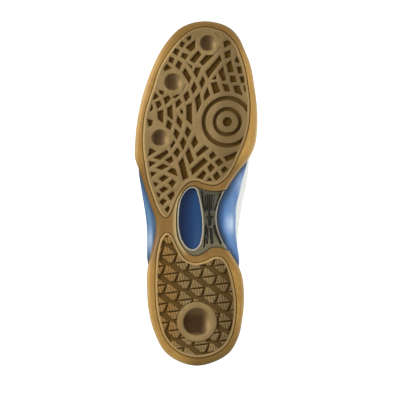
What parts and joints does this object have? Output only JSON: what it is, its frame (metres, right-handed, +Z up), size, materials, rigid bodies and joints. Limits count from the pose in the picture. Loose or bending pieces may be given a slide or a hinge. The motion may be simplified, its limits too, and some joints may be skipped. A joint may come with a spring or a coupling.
{
  "type": "handball shoe",
  "caption": "Right indoor handball shoe lying on its inner side: gum cup outsole with pivot rings and suction cups, blue midsole, white hollow upper, tongue and laces.",
  "frame": {"origin": "middle of the shoe's box, on the floor", "axes": "+X from heel to toe, +Z up, the sole faces -Y and a little up, the inner side is down"},
  "size_m": [0.2944, 0.1278, 0.1021],
  "materials": {
    "gum_rubber": "satin gum rubber",
    "tread_rubber": "worn gum rubber",
    "shank_plastic": "moulded, satin",
    "midsole_foam": "moulded foam with a glossy skin",
    "upper_leather": "coated synthetic leather",
    "tongue_cloth": "padded cloth",
    "insole_cloth": "brushed cloth",
    "lace_cloth": "woven"
  },
  "bodies": {
    "root": {"outsole": "gum_rubber", "forefoot_tread": "tread_rubber", "heel_tread": "tread_rubber", "shank": "shank_plastic", "midsole": "midsole_foam", "upper": "upper_leather", "tongue": "tongue_cloth", "insole": "insole_cloth", "laces": "lace_cloth"}
  },
  "joints": []
}
